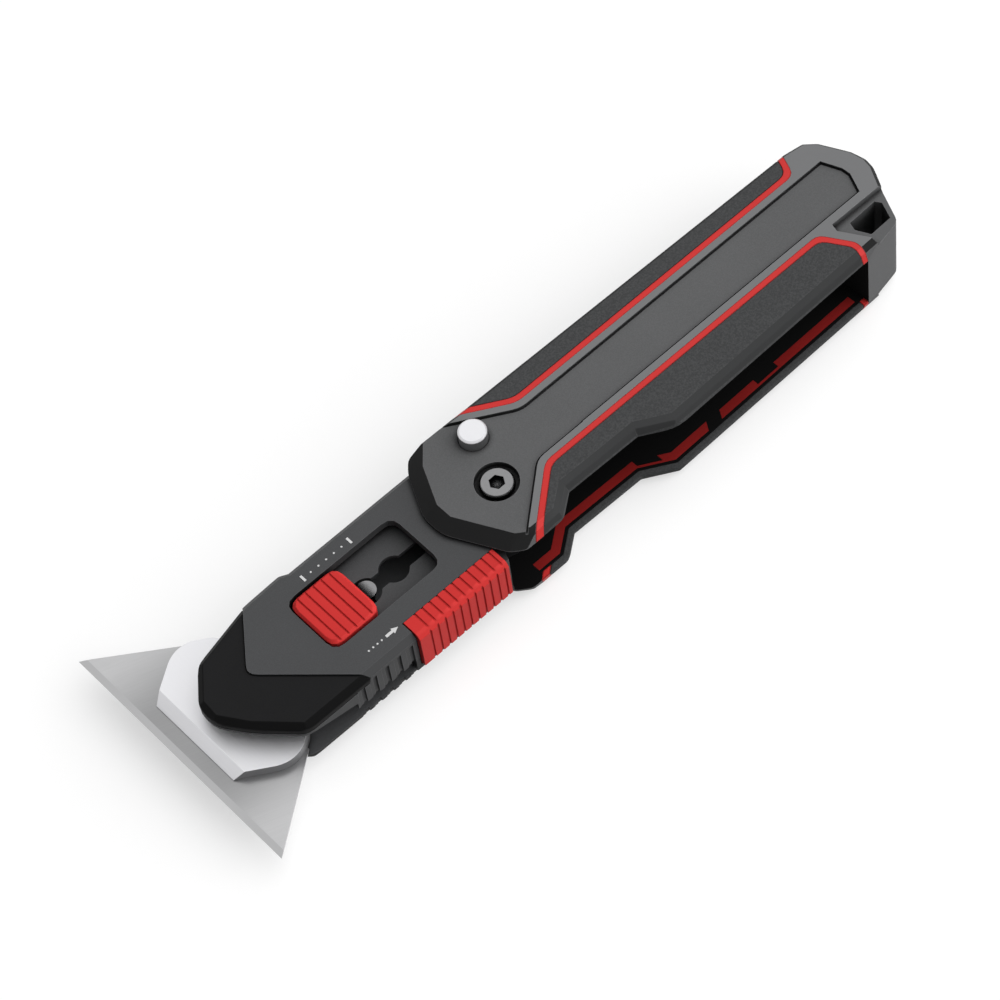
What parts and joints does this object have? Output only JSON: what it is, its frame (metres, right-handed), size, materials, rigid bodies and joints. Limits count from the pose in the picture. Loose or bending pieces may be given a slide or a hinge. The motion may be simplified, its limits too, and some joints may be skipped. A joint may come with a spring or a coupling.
{
  "type": "folding blade scraper",
  "caption": "Folding pocket scraper with a trapezoid blade in a turning holder on a sliding carriage, and a handle of two gripped scales with a push-button pivot.",
  "frame": {"origin": "fold axis, on the plane that the back of the handle rests on", "axes": "+X to the tail of the handle, +Y to its spine, +Z out of the front face"},
  "size_m": [0.1863, 0.061, 0.0223],
  "materials": {
    "grey_plastic": "fine grained dark grey",
    "grip_rubber": "matt grained charcoal",
    "red_plastic": "satin red",
    "black_plastic": "satin black",
    "plated_steel": "plated, satin",
    "dark_steel": "blackened",
    "bright_steel": "bright, finely brushed",
    "blade_steel": "ground blade steel"
  },
  "bodies": {
    "handle": {"front_scale": "grey_plastic", "back_scale": "grey_plastic", "front_upper_pad": "grip_rubber", "front_lower_pad": "grip_rubber", "back_upper_pad": "grip_rubber", "back_lower_pad": "grip_rubber", "front_upper_trim": "red_plastic", "front_lower_trim": "red_plastic", "back_upper_trim": "red_plastic", "back_lower_trim": "red_plastic", "front_liner": "red_plastic", "back_liner": "red_plastic", "backspacer": "black_plastic", "scale_screws": "dark_steel", "pivot_screw": "plated_steel", "pivot_barrel": "plated_steel", "pivot_washers": "plated_steel", "lock_spring": "plated_steel"},
    "lock": {"lock_button": "bright_steel"},
    "head": {"head_front_shell": "grey_plastic", "head_back_shell": "grey_plastic", "nose_cover": "black_plastic", "guide_plate": "grey_plastic", "head_screws": "dark_steel"},
    "mode": {"mode_button": "red_plastic", "carriage": "plated_steel", "guide_pin": "plated_steel"},
    "rotate": {"rotate_slider": "red_plastic", "rotate_latch": "plated_steel"},
    "blade_unit": {"holder_front_plate": "bright_steel", "holder_back_plate": "bright_steel", "holder_rivets": "plated_steel", "turn_rivet": "plated_steel", "blade": "blade_steel"}
  },
  "joints": [
    {"name": "fold", "type": "hinge", "parent": "handle", "child": "head", "pos_m": [0, 0, 0.01], "axis": [0, 0, 1], "range_deg": [0, 180]},
    {"name": "lock_press", "type": "slide", "parent": "handle", "child": "lock", "axis": [0, 0, -1], "range_m": [0, 0.0022], "stiffness_N_per_m": 1200, "springref_m": -0.001, "deforming": ["lock_spring"]},
    {"name": "mode_slide", "type": "slide", "parent": "head", "child": "mode", "axis": [1, 0, 0], "range_m": [0, 0.012]},
    {"name": "rotate_slide", "type": "slide", "parent": "head", "child": "rotate", "axis": [1, 0, 0], "range_m": [0, 0.0024], "stiffness_N_per_m": 800, "springref_m": -0.001},
    {"name": "blade_turn", "type": "hinge", "parent": "mode", "child": "blade_unit", "pos_m": [-0.0665, 0.0044, 0.009], "axis": [0, 0, 1], "range_deg": [0, 90]}
  ]
}
